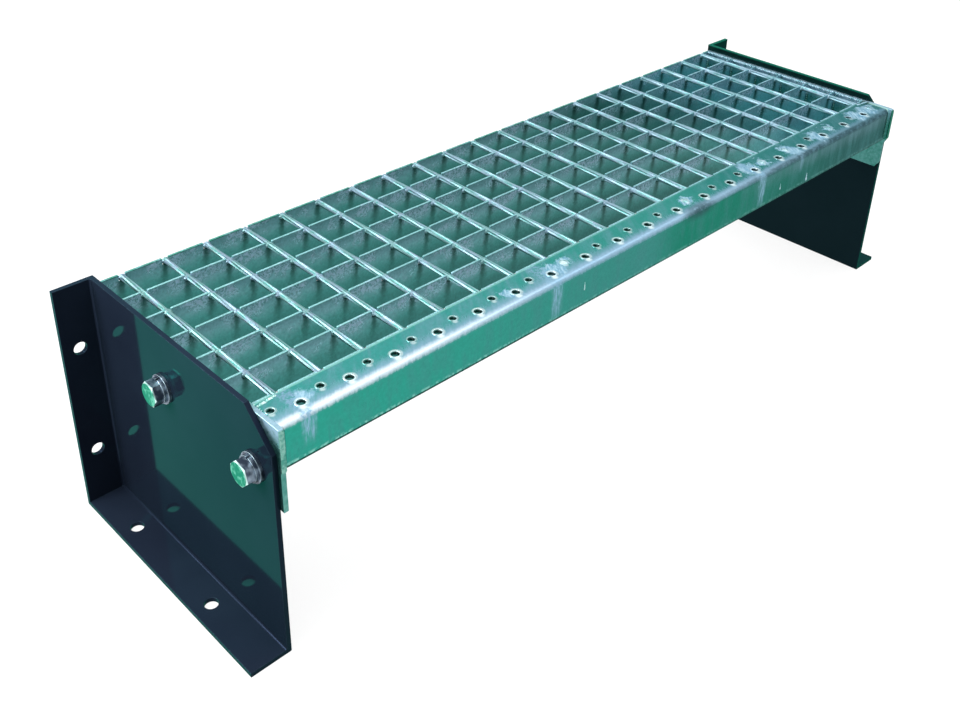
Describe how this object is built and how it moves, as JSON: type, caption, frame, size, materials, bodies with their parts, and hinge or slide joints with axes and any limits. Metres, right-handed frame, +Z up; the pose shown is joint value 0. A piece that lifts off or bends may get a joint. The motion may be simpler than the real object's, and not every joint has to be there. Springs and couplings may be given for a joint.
{
  "type": "outdoor step",
  "caption": "Outdoor step: a galvanised steel grating tread with a perforated nosing, bolted between two welded wall brackets with fixing flanges.",
  "frame": {"origin": "middle of the footprint, at ground level", "axes": "+X along the tread to the right bracket, +Y towards the wall, +Z up"},
  "size_m": [0.87, 0.2454, 0.21],
  "materials": {
    "galvanised_steel": "hot-dip galvanised, blotchy satin zinc",
    "powder_coat": "gloss near-black powder coat",
    "zinc_plated_steel": "bright zinc plating"
  },
  "bodies": {
    "root": {"back_bar": "galvanised_steel", "bolt_left_back": "zinc_plated_steel", "bolt_left_front": "zinc_plated_steel", "bolt_right_back": "zinc_plated_steel", "bolt_right_front": "zinc_plated_steel", "bracket_left": "powder_coat", "bracket_right": "powder_coat", "cross_rod_01": "galvanised_steel", "cross_rod_02": "galvanised_steel", "cross_rod_03": "galvanised_steel", "cross_rod_04": "galvanised_steel", "cross_rod_05": "galvanised_steel", "cross_rod_06": "galvanised_steel", "cross_rod_07": "galvanised_steel", "cross_rod_08": "galvanised_steel", "cross_rod_09": "galvanised_steel", "cross_rod_10": "galvanised_steel", "cross_rod_11": "galvanised_steel", "cross_rod_12": "galvanised_steel", "cross_rod_13": "galvanised_steel", "cross_rod_14": "galvanised_steel", "cross_rod_15": "galvanised_steel", "cross_rod_16": "galvanised_steel", "cross_rod_17": "galvanised_steel", "cross_rod_18": "galvanised_steel", "cross_rod_19": "galvanised_steel", "cross_rod_20": "galvanised_steel", "cross_rod_21": "galvanised_steel", "end_plate_left": "galvanised_steel", "end_plate_right": "galvanised_steel", "front_bar": "galvanised_steel", "head_washers": "zinc_plated_steel", "inner_bar_1": "galvanised_steel", "inner_bar_2": "galvanised_steel", "inner_bar_3": "galvanised_steel", "inner_bar_4": "galvanised_steel", "inner_bar_5": "galvanised_steel", "nosing": "galvanised_steel", "nut_left_back": "zinc_plated_steel", "nut_left_front": "zinc_plated_steel", "nut_right_back": "zinc_plated_steel", "nut_right_front": "zinc_plated_steel", "nut_washers": "zinc_plated_steel", "spring_washers": "zinc_plated_steel"}
  },
  "joints": []
}
